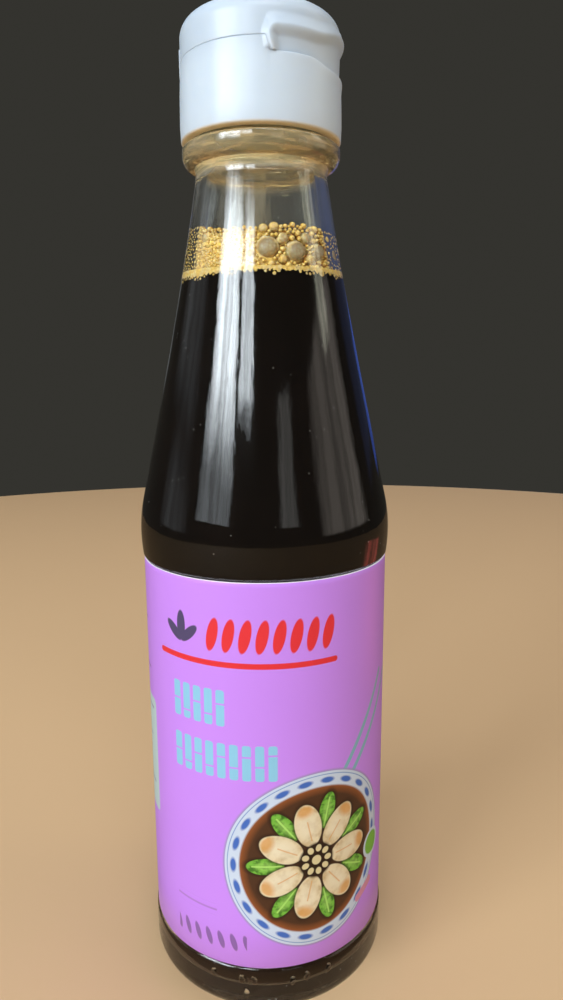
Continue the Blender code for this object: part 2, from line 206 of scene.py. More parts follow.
# Colours of the cap and the label
WHITE = (0.65, 0.755, 0.865)
# Grey for the plastic's random mottle, also used as painted shade towards the lid
WHITE_MOTTLE_AND_PAINTED_SHADE = (0.57, 0.675, 0.79)
# Painted light: warm tan on the cap's underside, standing in for warm light from below
PAINTED_TAN_LIGHT = (0.72, 0.57, 0.36)
LILAC = (0.64, 0.285, 0.99)
LILAC_DEEP = (0.6, 0.265, 0.95)
PAPER = (0.95, 0.88, 1.0)
PANEL_BLUE = (0.55, 0.72, 0.72)
RED = (0.82, 0.035, 0.045)
ROSE = (0.72, 0.3, 0.45)
INK = (0.09, 0.07, 0.16)
VIOLET = (0.19, 0.1, 0.3)
PALE_BLUE = (0.28, 0.62, 0.84)
TEAL = (0.24, 0.5, 0.62)
PORCELAIN = (0.64, 0.74, 0.9)
DISC_SHADOW = (0.36, 0.3, 0.6)
RIM_LINE = (0.2, 0.34, 0.66)
RIM_BLUE = (0.06, 0.16, 0.55)
GROUND = (0.085, 0.035, 0.016)
GROUND_EDGE = (0.3, 0.09, 0.025)
PETAL = (0.84, 0.72, 0.48)
PETAL_SHADE = (0.6, 0.44, 0.22)
PETAL_SHADOW = (0.03, 0.014, 0.008)
PETAL_TOP = (0.92, 0.83, 0.62)
AMBER = (0.74, 0.34, 0.07)
BEAN = (0.74, 0.64, 0.36)
LEAF = (0.2, 0.52, 0.06)
LEAF_DARK = (0.06, 0.2, 0.02)
LEAF_LIGHT = (0.42, 0.75, 0.16)

# Stage
FLOOR_RADIUS = 0.62
FLOOR_PALE = (0.74, 0.5, 0.28)
CARD_RING = ((620.0, 1.0), (32.0, 1.0))
# Painted shade: the brown of a card seen only in reflections, standing in for shade on the floor
SHADE_CARD_BROWN = (0.22, 0.135, 0.06)
WORLD = (0.034, 0.033, 0.028)
COOL = (0.86, 0.94, 1.0)
# Light panels: name, azimuths, distance, heights, radiance, colour, soft sides, strips, ramp, fall
PANELS = (
    ("key", (-65.0, -30.0), 1.1, (0.22, 0.85), 23.5, COOL, 0.1, 0.5, (0.2, 0.6), 0.68),
    ("key_side", (-29.0, -11.0), 1.1, (0.48, 0.85), 13.5, COOL, 0.15, 0.4, (0.0, 0.2), 0.6),
    ("left", (-130.0, -72.0), 1.2, (0.3, 0.68), 0.4, COOL, 0.4, 0.5, (0.0, 0.4)),
    ("left_low", (-112.0, -68.0), 1.2, (0.0, 0.36), 0.35, COOL, 0.4, 0.4, (0.0, 0.1), 0.6),
    ("front", (-30.0, 40.0), 1.2, (1.15, 1.85), 6.7, (0.97, 0.98, 1.0), 0.4),
    ("right_near", (10.0, 32.0), 1.2, (0.2, 0.6), 0.8, (1.0, 1.0, 0.96), 0.3, 0.3),
    ("right", (48.0, 108.0), 1.2, (0.0, 0.62), 0.9, (1.0, 0.9, 0.8), 0.15, 0.5),
    ("right_high", (76.0, 96.0), 1.2, (0.5, 1.1), 2.5, (1.0, 1.0, 0.8), 0.3, 0.5),
    ("right_top", (40.0, 120.0), 1.2, (1.2, 1.8), 1.9, (1.0, 0.95, 0.9), 0.3),
    ("red_low", (94.0, 124.0), 0.17, (0.0, 0.06), 1.1, (1.0, 0.16, 0.14), 0.3, 0.8),
    ("back_right", (117.0, 168.0), 1.2, (0.1, 0.9), 0.1, (0.13, 0.25, 0.8), 0.15),
    ("blue_low", (146.0, 172.0), 1.2, (0.02, 0.3), 0.4, (0.05, 0.16, 0.9), 0.15, 0.0, (0.0, 0.08), 0.75),
    ("back", (176.5, 187.0), 1.2, (0.1, 0.9), 0.16, (1.0, 0.8, 0.5), 0.4, 0.6),
    ("back_left", (-168.0, -156.0), 1.2, (0.1, 0.9), 0.16, COOL, 0.3, 0.8),
)
PANEL_LOW_SHARE = 0.09
OVERHEAD_WATTS = 4.0

# Camera: its place in metres, its turns in radians, and its focal length and picture in pixels
CAMERA_PLACE = (0.0, -0.14955, 0.12834)
CAMERA_PITCH = 0.1869
CAMERA_YAW = 0.0233
CAMERA_ROLL = -0.0058
FOCAL_PIXELS = 730.36
PICTURE_PIXELS = 1000.0


def turn_from(azimuth, start):
    """An azimuth counted from another one, from -180 to 180."""
    return (azimuth - start + 540.0) % 360.0 - 180.0


def arc(centre, radius, start, end, steps):
    """Points (r, z) on an arc, from angle start to end in degrees, 0 pointing outwards and 90 up."""
    angles = np.radians(np.linspace(start, end, steps + 1))
    return [(centre[0] + radius * math.cos(a), centre[1] + radius * math.sin(a)) for a in angles]


def straight(start, end, steps):
    """Points between two points, without the last."""
    t = np.linspace(0.0, 1.0, steps + 1)[:-1]
    return [(start[0] + (end[0] - start[0]) * s, start[1] + (end[1] - start[1]) * s) for s in t]


def smooth(value):
    """Eases from 0 to 1 as the value goes from 0 to 1."""
    t = min(1.0, max(0.0, value))
    return t * t * (3.0 - 2.0 * t)


def cone_foot():
    """(r, z) where the shoulder's upper arc ends and the cone starts."""
    centre = (SHOULDER_RADIUS - SHOULDER_UPPER_BEND, SHOULDER_HEIGHT)
    return arc(centre, SHOULDER_UPPER_BEND, CONE_FOOT_ANGLE, CONE_FOOT_ANGLE, 1)[0]


def cone_radius(height):
    """Outer radius of the cone: nearly straight, a little hollow towards the neck."""
    foot_radius, foot_height = cone_foot()
    rise = NECK_HEIGHT - foot_height
    t = (height - foot_height) / rise
    start = (2 * t**3 - 3 * t**2 + 1) * foot_radius - (t**3 - 2 * t**2 + t) * rise * CONE_FOOT_SLOPE
    end = (3 * t**2 - 2 * t**3) * NECK_RADIUS - (t**3 - t**2) * rise * CONE_HEAD_SLOPE
    return start + end


def cone_points(top, steps, inset):
    """Points down the cone from a height to its foot, moved in by inset."""
    heights = np.linspace(top, cone_foot()[1], steps + 1)[:-1]
    return [(cone_radius(z) - inset, z) for z in heights]


def shoulder_points(inset):
    """Points down the shoulder, round its bulge, to just over the label panel."""
    upper_centre = (SHOULDER_RADIUS - SHOULDER_UPPER_BEND, SHOULDER_HEIGHT)
    lower_centre = (SHOULDER_RADIUS - SHOULDER_LOWER_BEND, SHOULDER_HEIGHT)
    drop = SHOULDER_HEIGHT - PANEL_TOP - PANEL_STEP
    lower_angle = math.degrees(math.asin(drop / SHOULDER_LOWER_BEND))
    upper = arc(upper_centre, SHOULDER_UPPER_BEND - inset, CONE_FOOT_ANGLE, 0.0, 10)
    return upper + arc(lower_centre, SHOULDER_LOWER_BEND - inset, 0.0, -lower_angle, 8)[1:]


def dome_points(edge_radius, edge_height, top_height, steps):
    """Points up a shallow dome from its edge to the axis."""
    rise = top_height - edge_height
    radii = np.linspace(edge_radius, 0.0, steps + 1)
    return [(r, top_height - rise * (r / edge_radius) ** 2) for r in radii]


def glass_outside():
    """Outer profile of the glass, from the lip down to the middle of the base."""
    lip_centre = (FINISH_RADIUS - FINISH_ROUND, FINISH_TOP - FINISH_ROUND)
    upper_bead = (BEAD_RADIUS - BEAD_UPPER_ROUND, BEAD_TOP - BEAD_UPPER_ROUND)
    lower_bead = (BEAD_RADIUS - BEAD_LOWER_ROUND, BEAD_BOTTOM + BEAD_LOWER_ROUND)
    points = arc(lip_centre, FINISH_ROUND, 90.0, 0.0, 6)
    points += straight((FINISH_RADIUS, FINISH_TOP - 2.0), (FINISH_RADIUS, BEAD_TOP + 0.3), 3)
    points += arc((FINISH_RADIUS + 0.3, BEAD_TOP + 0.3), 0.3, 180.0, 270.0, 4)
    points += arc(upper_bead, BEAD_UPPER_ROUND, 90.0, 0.0, 6)
    points += arc(lower_bead, BEAD_LOWER_ROUND, 0.0, -90.0, 14)
    points += cone_points(NECK_HEIGHT, 40, 0.0)
    points += shoulder_points(0.0)
    points += [(PANEL_RADIUS + PANEL_ROUND, PANEL_TOP + 0.05), (PANEL_RADIUS, PANEL_TOP - PANEL_ROUND)]
    points += straight((PANEL_RADIUS, PANEL_TOP - 1.0), (PANEL_RADIUS, PANEL_BOTTOM + 1.0), 12)
    points += [(PANEL_RADIUS, PANEL_BOTTOM + PANEL_ROUND), (PANEL_RADIUS + PANEL_ROUND, PANEL_BOTTOM)]
    points += [(HEEL_RADIUS - inward, PANEL_BOTTOM - drop) for inward, drop in HEEL_TURN]
    points += arc((HEEL_RADIUS - HEEL_CORNER, HEEL_CORNER), HEEL_CORNER, 0.0, -90.0, 16)
    inside = HEEL_RADIUS - HEEL_CORNER - BEARING_WIDTH
    points += [(inside + 0.2, 0.0), (inside, 0.06)]
    return points + dome_points(inside - 0.8, 0.7, PUSH_UP_HEIGHT, 10)


def hollow_profile(top, inset):
    """Inner profile of the glass below a height, down to the middle of the floor, moved in by inset."""
    wall = WALL + inset
    corner = (PANEL_RADIUS - WALL - INNER_CORNER, BASE_THICKNESS + INNER_CORNER)
    points = cone_points(top, 40, wall)
    points += shoulder_points(wall)
    points += straight((PANEL_RADIUS - wall, PANEL_TOP - 4.0), (PANEL_RADIUS - wall, corner[1] + 2.0), 10)
    points += arc(corner, INNER_CORNER - inset, 0.0, -80.0, 16)
    edge_radius, edge_height = points[-1]
    floor_top = PUSH_UP_HEIGHT + BASE_THICKNESS + inset
    return points + dome_points(edge_radius, edge_height, floor_top, 10)[1:]


def glass_profile():
    """Section of the glass: up the inside from the axis, over the lip and down the outside."""
    inside = hollow_profile(NECK_HEIGHT, 0.0)
    throat = [(BORE_RADIUS + 0.35, NECK_HEIGHT + 1.6), (BORE_RADIUS, NECK_HEIGHT + 4.0)]
    lip_centre = (BORE_RADIUS + FINISH_ROUND, FINISH_TOP - FINISH_ROUND)
    rim = arc(lip_centre, FINISH_ROUND, 180.0, 90.0, 6)
    return inside[::-1] + throat + rim + glass_outside()


def place(azimuth, radius, height):
    """A point from its azimuth, radius and height, in metres."""
    angle = math.radians(azimuth)
    return (radius * math.sin(angle) * MM, -radius * math.cos(angle) * MM, height * MM)


def add_object(name, mesh):
    """Links a mesh to the scene as an object."""
    obj = bpy.data.objects.new(name, mesh)
    bpy.context.scene.collection.objects.link(obj)
    return obj


def add_mesh(name, points, faces):
    """An object from its points and faces."""
    mesh = bpy.data.meshes.new(name)
    mesh.from_pydata(points, [], faces)
    mesh.validate()
    return add_object(name, mesh)


def revolve(name, profile, azimuths=EVEN_AZIMUTHS, shape=None, closed=False):
    """A turned mesh from a profile that runs down its outer side; shape(azimuth, r, z) may move a point."""
    columns = len(azimuths)
    points = []
    rings = []
    for r, z in profile:
        if r < 1e-6:
            rings.append([len(points)] * columns)
            points.append((0.0, 0.0, z * MM))
            continue
        rings.append(list(range(len(points), len(points) + columns)))
        for azimuth in azimuths:
            moved = shape(azimuth, r, z) if shape else (r, z)
            points.append(place(azimuth, *moved))
    faces = []
    pairs = list(zip(rings, rings[1:]))
    if closed:
        pairs.append((rings[-1], rings[0]))
    for upper, lower in pairs:
        for i in range(columns):
            j = (i + 1) % columns
            corners = (upper[i], lower[i], lower[j], upper[j])
            faces.append(tuple(dict.fromkeys(corners)))
    obj = add_mesh(name, points, faces)
    smooth_shade(obj)
    return obj


def smooth_shade(obj, angle=40.0):
    """Shades an object smooth, with edges sharp over an angle in degrees."""
    obj.data.shade_smooth()
    obj.data.set_sharp_from_angle(angle=math.radians(angle))


class Field:
    """A value in a shader's node tree, with arithmetic that adds nodes."""

    def __init__(self, tree, socket):
        self.tree = tree
        self.socket = socket

    def math(self, operation, *others):
        """One of the math node's operations on this value and others."""
        node = self.tree.nodes.new("ShaderNodeMath")
        node.operation = operation
        for slot, value in zip(node.inputs, (self, *others)):
            feed(slot, value)
        return Field(self.tree, node.outputs[0])

    def vector(self, operation, *others):
        """One of the vector math node's operations; a length is a plain number."""
        node = self.tree.nodes.new("ShaderNodeVectorMath")
        node.operation = operation
        for slot, value in zip(node.inputs, (self, *others)):
            feed(slot, value)
        return Field(self.tree, node.outputs[1 if operation == "LENGTH" else 0])

    def __add__(self, other):
        return self.math("ADD", other)

    def __sub__(self, other):
        return self.math("SUBTRACT", other)

    def __mul__(self, other):
        return self.math("MULTIPLY", other)

    def __truediv__(self, other):
        return self.math("DIVIDE", other)

    def __abs__(self):
        return self.math("ABSOLUTE")

    def step(self, low, high, kind="SMOOTHSTEP"):
        """Eases from 0 at low to 1 at high."""
        node = self.tree.nodes.new("ShaderNodeMapRange")
        node.interpolation_type = kind
        fill(node, Value=self, From_Min=low, From_Max=high)
        return Field(self.tree, node.outputs["Result"])

    def inside(self, edge=0.0, softness=0.12):
        """1 where the value is under the edge, 0 where it is over it, with a soft change."""
        return self.step(edge + softness / 2, edge - softness / 2, "LINEAR")


def feed(slot, value):
    """Links a field to a socket, or sets the socket's own value."""
    if isinstance(value, Field):
        value.tree.links.new(value.socket, slot)
    else:
        slot.default_value = value


def fill(node, **values):
    """Feeds a node's sockets, named with underscores for spaces."""
    for key, value in values.items():
        feed(node.inputs[key.replace("_", " ")], value)


def new_material(name, colour, roughness, **settings):
    """A Principled material; settings name other sockets of its shader."""
    material = bpy.data.materials.new(name)
    material.use_nodes = True
    shader = material.node_tree.nodes["Principled BSDF"]
    fill(shader, Base_Color=(*colour, 1.0), Roughness=roughness, **settings)
    return material, material.node_tree, shader


def object_place(tree):
    """The object's own coordinates, in millimetres."""
    node = tree.nodes.new("ShaderNodeTexCoord")
    return Field(tree, node.outputs["Object"]).vector("MULTIPLY", (1.0 / MM,) * 3)


def read_attribute(tree, name):
    """A value stored on the mesh's points."""
    node = tree.nodes.new("ShaderNodeAttribute")
    node.attribute_name = name
    return Field(tree, node.outputs["Fac"])


def noise(where, scale, detail=2.0, stretch=(1.0, 1.0, 1.0)):
    """A noise field between 0 and 1, with its scale in cycles per millimetre."""
    node = where.tree.nodes.new("ShaderNodeTexNoise")
    fill(node, Vector=where.vector("MULTIPLY", stretch), Scale=scale, Detail=detail)
    return Field(where.tree, node.outputs["Fac"])


def cells(where, scale):
    """Distance to the nearest of many scattered points, in parts of a cell."""
    node = where.tree.nodes.new("ShaderNodeTexVoronoi")
    fill(node, Vector=where, Scale=scale)
    return Field(where.tree, node.outputs["Distance"])


def mix(first, second, factor):
    """Blends two colours, each a field or a plain colour, by a factor."""
    node = factor.tree.nodes.new("ShaderNodeMix")
    node.data_type = "RGBA"
    feed(node.inputs[0], factor)
    for slot, value in ((node.inputs[6], first), (node.inputs[7], second)):
        feed(slot, value if isinstance(value, Field) else (*value, 1.0))
    return Field(factor.tree, node.outputs[2])


def bump(shader, height, distance):
    """Gives a shader a bump from a height field, with the distance in millimetres."""
    node = height.tree.nodes.new("ShaderNodeBump")
    fill(node, Distance=distance * MM, Height=height)
    height.tree.links.new(node.outputs["Normal"], shader.inputs["Normal"])


def split(field):
    """The x, y and z of a vector field."""
    node = field.tree.nodes.new("ShaderNodeSeparateXYZ")
    feed(node.inputs[0], field)
    return tuple(Field(field.tree, node.outputs[i]) for i in range(3))


def joined(x, y):
    """A vector field from its x and y."""
    node = x.tree.nodes.new("ShaderNodeCombineXYZ")
    feed(node.inputs[0], x)
    feed(node.inputs[1], y)
    return Field(x.tree, node.outputs[0])


def cylinder_place(tree):
    """The place on the label as (arc length from the front, height, 0) in millimetres."""
    x, y, height = split(object_place(tree))
    return joined(x.math("ARCTAN2", y * -1.0) * LABEL_RADIUS, height)


def arc_length(azimuth):
    """Length along the label from the front, in millimetres."""
    return math.radians(azimuth) * LABEL_RADIUS


def on_label(spot):
    """A place on the label, given as (azimuth, height), in millimetres."""
    return (arc_length(spot[0]), spot[1])


def local(where, centre, angle=0.0, size=(1.0, 1.0)):
    """Coordinates about a centre on the label, turned by an angle in degrees and divided by a size."""
    node = where.tree.nodes.new("ShaderNodeMapping")
    node.vector_type = "TEXTURE"
    fill(node, Vector=where, Location=(*centre, 0.0), Rotation=(0.0, 0.0, math.radians(angle)))
    fill(node, Scale=(*size, 1.0))
    return Field(where.tree, node.outputs[0])


def oval(where, centre, size, angle=0.0):
    """Distance field of an oval: below 0 inside it, in millimetres along its short half-width."""
    away = local(where, centre, angle, size).vector("LENGTH")
    return (away - 1.0) * min(size)


def bar(where, centre, half, angle=0.0, corner=0.3):
    """Distance field of a bar with rounded corners, in millimetres."""
    inner = (half[0] - corner, half[1] - corner, 0.0)
    shifted = local(where, centre, angle).vector("ABSOLUTE").vector("SUBTRACT", inner)
    return shifted.vector("MAXIMUM", (0.0, 0.0, 0.0)).vector("LENGTH") - corner


def wrapped(value, pitch):
    """Folds a field into one cell of a repeating pattern, centred on 0."""
    return value.math("WRAP", pitch / 2.0, -pitch / 2.0)


def fan(around, count, turn=0.0):
    """Folds the plane round a centre into one sector of several, which lies along +x."""
    x, y, _ = split(around)
    away = around.vector("LENGTH")
    angle = wrapped(y.math("ARCTAN2", x) - math.radians(turn), 2.0 * math.pi / count)
    return joined(away * angle.math("COSINE"), away * angle.math("SINE"))


def glass_material():
    """Clear glass with slight waves and dust, with a film in the neck, and with tan and amber painted in at
    the bead as warm light seen through it.
    """
    material, tree, shader = new_material(
        "clear_glass_fine", GLASS_TINT, 0.012, IOR=1.52, Transmission_Weight=1.0
    )
    where = object_place(tree)
    height = split(where)[2]
    # Painted light: a band round the bead, hazed and coloured tan and amber in streaks, standing in for
    # warm light seen through it
    painted_bead_band = abs(height - (BEAD_BOTTOM + BEAD_TOP) / 2).inside(3.4, 1.6)
    speck = cells(where, 0.6).inside(0.045, 0.03)
    speck = speck * noise(where, 0.06).step(0.4, 0.62)
    neck = height.step(149.0, 156.0) * (noise(where, 0.25, stretch=(1.0, 1.0, 0.3)) * 0.024)
    painted_bead_streaks = noise(where, 1.0, stretch=(0.16, 0.16, 1.3)).step(0.35, 0.65)
    # Less clear where there is dust, where the neck has its film, and where the bead has its painted light
    dust_film_and_painted_bead = speck * 0.7 + neck + painted_bead_band * (painted_bead_streaks * 0.2 + 0.12)
    tint_and_painted_bead = mix(GLASS_TINT, mix(BEAD_PAINTED_LIGHT, BEAD_PAINTED_AMBER, painted_bead_streaks), painted_bead_band)
    fill(shader, Base_Color=mix(tint_and_painted_bead, DUST, speck))
    fill(shader, Transmission_Weight=dust_film_and_painted_bead * -1.0 + 1.0)
    fill(shader, Roughness=speck * 0.4 + 0.012)
    waves = noise(where, 0.09, stretch=(1.0, 1.0, 0.22)) * 10.0
    bump(shader, waves + noise(where, 0.7, stretch=(1.0, 1.0, 0.12)), 0.025)
    return material


def sauce_material():
    """Sauce that is nearly black, with brown painted in towards the bottom as warm light from the table
    showing through it.
    """
    material, tree, shader = new_material("dark_sauce_fine", SAUCE, 0.12, IOR=1.12)
    where = object_place(tree)
    # Painted light: browner towards the bottom, standing in for warm light from the table
    heel = split(where)[2].step(15.0, 5.0)
    dark = mix(SAUCE_DARK, SAUCE_CLOUD, noise(where, 0.12, detail=3.0))
    fill(shader, Base_Color=mix(dark, SAUCE_PAINTED_HEEL_LIGHT, heel * 0.28))
    return material


def foam_material():
    """Golden foam: big bubbles are clear and olive in their middle, between fine golden froth, with a
    painted highlight ring near the edge of the big ones and painted shade at every bubble's edge.
    """
    material, tree, shader = new_material(
        "golden_foam_fine", FOAM_GOLD, 0.06, IOR=1.42, Subsurface_Weight=0.25,
        Subsurface_Radius=(0.002, 0.0014, 0.0006), Subsurface_Scale=1.0,
    )
    where = object_place(tree)
    edge = read_attribute(tree, "rim")
    tone = read_attribute(tree, "tone")
    froth = cells(where, 1.7)
    cloud = noise(where, 0.9, detail=3.0)
    middle = mix(mix(FOAM_PALE, FOAM_GOLD, cloud.step(0.4, 0.6)), FOAM_CLEAR, tone)
    gold = mix(middle, FOAM_GOLD, edge.step(0.55, 0.85))
    # Painted highlight: a pale ring near each large bubble's edge
    gold = mix(gold, FOAM_PAINTED_GLINT, edge.step(0.7, 0.8) * tone)
    # Amber at each bubble's very edge: the darker liquid where bubbles meet, and painted shade there
    gold = mix(gold, FOAM_AMBER, edge.step(0.91, 0.99) * 0.85)
    fill(shader, Base_Color=mix(gold, FOAM_AMBER, froth.step(0.25, 0.65) * 0.3))
    fill(shader, Transmission_Weight=tone * edge.step(0.95, 0.6) * 0.6 + 0.1)
    bump(shader, read_attribute(tree, "dome") * 9.0 + froth, 0.05)
    return material


def plastic_material():
    """White moulded plastic, a little translucent, with a random grey mottle and painted shade towards the
    lid, and painted warm light on the underside over the bead.
    """
    material, tree, shader = new_material(
        "white_plastic_fine", WHITE, 0.33, IOR=1.46, Subsurface_Weight=0.35,
        Subsurface_Radius=(0.003, 0.0026, 0.0022), Subsurface_Scale=1.0,
    )
    where = object_place(tree)
    height = split(where)[2]
    cloud = noise(where, 0.08, detail=1.0) * 0.4
    # Random grey mottle, and painted shade that grows up towards the lid
    white = mix(WHITE, WHITE_MOTTLE_AND_PAINTED_SHADE, cloud + height.step(178.0, 184.0) * 0.75)
    # Painted light: tan on the underside over the bead, standing in for warm light from below
    fill(shader, Base_Color=mix(white, PAINTED_TAN_LIGHT, height.inside(CAP_BOTTOM + 0.2, 0.6)))
    return material


def medallion(where, colour):
    """A round blue and white medallion with a flower on a brown ground."""
    around = local(where, on_label(DISC_PLACE))
    away = around.vector("LENGTH")
    colour = mix(colour, DISC_SHADOW, away.inside(DISC_RADIUS + 0.25, 0.5))
    colour = mix(colour, PORCELAIN, away.inside(DISC_RADIUS - 0.05))
    petal = fan(around, 22)
    marks = oval(petal, (DISC_RADIUS - 1.8, 0.0), (0.6, 1.5))
    colour = mix(colour, RIM_BLUE, marks.inside(0.0, 0.3))
    line = abs(away - (DISC_RADIUS - 0.6))
    colour = mix(colour, RIM_LINE, line.inside(0.09))
    colour = mix(colour, GROUND_EDGE, away.inside(DISC_RADIUS - 3.0, 0.4))
    colour = mix(colour, GROUND, away.inside(DISC_RADIUS - 4.0, 1.6))
    return blossom(around, colour)


def blossom(around, colour):
    """A round flower of cream petals with amber tips, green leaves between them and a ring of seeds."""
    stain = noise(around, 0.4, detail=3.0)
    cream = mix(PETAL_SHADE, PETAL, stain.step(0.3, 0.6))
    green = mix(LEAF, LEAF_DARK, noise(around, 0.9).step(0.4, 0.65))
    leaf = fan(around, PETALS, 25.7)
    outline = oval(leaf, (10.3, 0.0), (3.7, 1.75))
    colour = mix(colour, PETAL_SHADOW, outline.inside(0.3, 0.7))
    colour = mix(colour, green, outline.inside())
    rib = bar(leaf, (10.0, 0.0), (3.0, 0.16), 0.0, 0.1).inside(0.0, 0.1)
    colour = mix(colour, LEAF_LIGHT, (rib + outline.inside(-0.8, 0.6) * 0.4))
    petal = fan(around, PETALS)
    outline = oval(petal, (7.9, 0.0), (4.6, 2.75))
    colour = mix(colour, PETAL_SHADOW, outline.inside(0.25, 0.8))
    colour = mix(colour, cream, outline.inside(0.0, 0.15))
    colour = mix(colour, PETAL_TOP, outline.inside(-1.0, 1.4) * 0.6)
    tip = oval(petal, (11.6, 0.0), (1.7, 1.9)).inside(0.0, 1.2) * outline.inside(-0.2, 0.3)
    colour = mix(colour, AMBER, tip * 0.75)
    vein = bar(petal, (6.6, 0.0), (2.2, 0.14), 0.0, 0.1).inside(0.0, 0.1)
    colour = mix(colour, AMBER, vein * 0.6)
    away = around.vector("LENGTH")
    colour = mix(colour, PETAL_SHADOW, away.inside(3.7, 0.5))
    seeds = oval(fan(around, 9), (2.5, 0.0), (0.75, 0.62)).inside(0.0, 0.15)
    return mix(colour, BEAN, seeds + away.inside(1.0, 0.15))


def frieze(where, colour):
    """Leaning red ovals in a row and a dark sprig, over a red bar."""
    x, y, _ = split(where)
    left, right = (arc_length(azimuth) for azimuth in FRIEZE_ENDS)
    row = bar(where, ((left + right) / 2, FRIEZE_HEIGHT), ((right - left) / 2, 4.0)).inside()
    pitch = (right - left) / FRIEZE_COUNT
    seed = joined(wrapped(x - left - pitch / 2, pitch), y)
    ovals = oval(seed, (0.0, FRIEZE_HEIGHT), (1.1, 3.3), -12.0).inside() * row
    colour = mix(colour, RED, ovals)
    x, y, _ = split(local(where, on_label(SPRIG_PLACE)))
    folded = joined(abs(x), y)
    colour = mix(colour, INK, oval(folded, (1.9, 1.9), (0.95, 2.5), -48.0).inside())
    colour = mix(colour, INK, oval(folded, (0.0, 3.2), (1.05, 2.9)).inside())
    line = bar(where, on_label(BAR_PLACE), (arc_length(43.0), 0.55), 0.0, 0.5)
    return mix(colour, RED, line.inside())


def canes(where, colour):
    """Two rows of pale blue canes, each with a joint."""
    x, y, _ = split(where)
    start = arc_length(CANE_START)
    for height, count in CANE_ROWS:
        half = CANE_PITCH * count / 2
        row = bar(where, (start + half, height), (half, 4.5)).inside()
        across = wrapped(x - start - CANE_PITCH / 2, CANE_PITCH)
        cane = bar(joined(across, y), (0.0, height), (0.86, 3.6), 0.0, 0.5).inside()
        number = ((x - start) / CANE_PITCH).math("FLOOR")
        joint = abs(y - height - wrapped(number * 2.3, 4.2)).inside(0.17, 0.15)
        colour = mix(colour, PALE_BLUE, cane * row * (joint * -1.0 + 1.0))
    return colour


def seed_rows(where, colour):
    """A row of dark leaning seeds, and a fine row of marks over it."""
    x, y, _ = split(where)
    left = arc_length(SEED_START)
    seed = joined(wrapped(x - left, SEED_PITCH), y)
    row = bar(where, (left + 8.1, SEED_HEIGHT), (8.1, 2.4)).inside()
    seeds = oval(seed, (0.0, SEED_HEIGHT), (0.62, 1.9), 16.0).inside()
    colour = mix(colour, VIOLET, seeds * row * 0.8)
    fine = abs(wrapped(y - FINE_HEIGHT, FINE_PITCH)).inside(0.2, 0.2)
    row = bar(where, (left + 5.0, FINE_HEIGHT), (5.0, 1.3)).inside()
    return mix(colour, VIOLET, fine * row * 0.4)


def label_front(where, colour):
    """The front of the label: a frieze, two rows of canes, a medallion with two stems, and seeds."""
    colour = frieze(where, colour)
    colour = canes(where, colour)
    x, y = on_label(STEM_PLACE)
    for shift in (0.0, 3.0):
        stem = bar(where, (x + shift, y - shift * 0.3), (15.5, 0.5), 52.0 - shift, 0.45)
        colour = mix(colour, TEAL, stem.inside())
    colour = medallion(where, colour)
    inset = local(where, on_label(INSET_PLACE), 0.0, (3.4, 3.1)).vector("LENGTH")
    colour = mix(colour, PORCELAIN, inset.inside(1.0, 0.05))
    colour = mix(colour, LEAF, inset.inside(0.78, 0.1))
    colour = mix(colour, ROSE, bar(where, on_label(RIBBON_PLACE), (3.2, 0.9), 20.0, 0.8).inside())
    return seed_rows(where, colour)


def label_back(where, colour):
    """The sides and back of the label: panels ruled with fine lines."""
    for azimuth, height, half_angle, half_height, filled in RULED_PANELS:
        spot = on_label((azimuth, height))
        half = (arc_length(half_angle), half_height)
        if filled:
            colour = mix(colour, PANEL_BLUE, bar(where, spot, half, 0.0, 1.2).inside())
        x, y, _ = split(local(where, spot))
        number = (y / RULE_PITCH + 0.5).math("FLOOR")
        rule = abs(wrapped(y, RULE_PITCH)).inside(0.28, 0.15)
        short = (number * 2.7).math("SINE") * 4.0 + (half[0] - 5.5)
        rule = rule * (x - short).inside() * (x + half[0] - 1.5).step(0.0, 0.1)
        rule = rule * (abs(y) - half_height + 2.0).inside()
        colour = mix(colour, VIOLET, rule * 0.65)
    return colour


def label_material():
    """Coated lilac paper with printed fields of colour."""
    material, tree, shader = new_material("label_paper_fine", LILAC, 0.33, IOR=1.45)
    where = cylinder_place(tree)
    solid_place = object_place(tree)
    colour = mix(LILAC, LILAC_DEEP, noise(solid_place, 0.05))
    colour = label_front(where, label_back(where, colour))
    edge = split(solid_place)[2].step(LABEL_TOP - 0.12, LABEL_TOP - 0.05)
    fill(shader, Base_Color=mix(colour, PAPER, edge))
    bump(shader, noise(solid_place, 3.0, detail=3.0), 0.006)
    return material


def dot_matrix(azimuth, height):
    """Where a mould dot sits, sunk in the glass, and deeper where the heel turns in."""
    deeper = max(0.0, (DOT_CORNER_HEIGHT - height) * 0.1)
    matrix = Matrix.Translation(place(azimuth, HEEL_RADIUS - DOT_SINK - deeper, height))
    return matrix @ Matrix.Diagonal((1.0, 1.0, DOT_STRETCH, 1.0))


def make_glass():
    """The glass with its mould dots, each repeated at the back."""
    glass = revolve("glass", glass_profile())
    body = bmesh.new()
    for azimuth, height, size in DOT_PLACES:
        for side in (azimuth, 180.0 - azimuth):
            bmesh.ops.create_icosphere(
                body, subdivisions=3, radius=DOT_RADIUS * size * MM, matrix=dot_matrix(side, height)
            )
    mesh = bpy.data.meshes.new("mould_dots")
    body.to_mesh(mesh)
    body.free()
    dots = add_object("mould_dots", mesh)
    union = glass.modifiers.new("dots", "BOOLEAN")
    union.operation = "UNION"
    union.solver = "EXACT"
    union.object = dots
    apply_modifiers(glass)
    bpy.data.objects.remove(dots, do_unlink=True)
    smooth_shade(glass)
    return glass


def apply_modifiers(obj):
    """Puts the result of an object's modifiers in its mesh."""
    bpy.context.view_layer.update()
    graph = bpy.context.evaluated_depsgraph_get()
    old = obj.data
    obj.data = bpy.data.meshes.new_from_object(obj.evaluated_get(graph))
    obj.modifiers.clear()
    obj.data.name = obj.name
    bpy.data.meshes.remove(old)


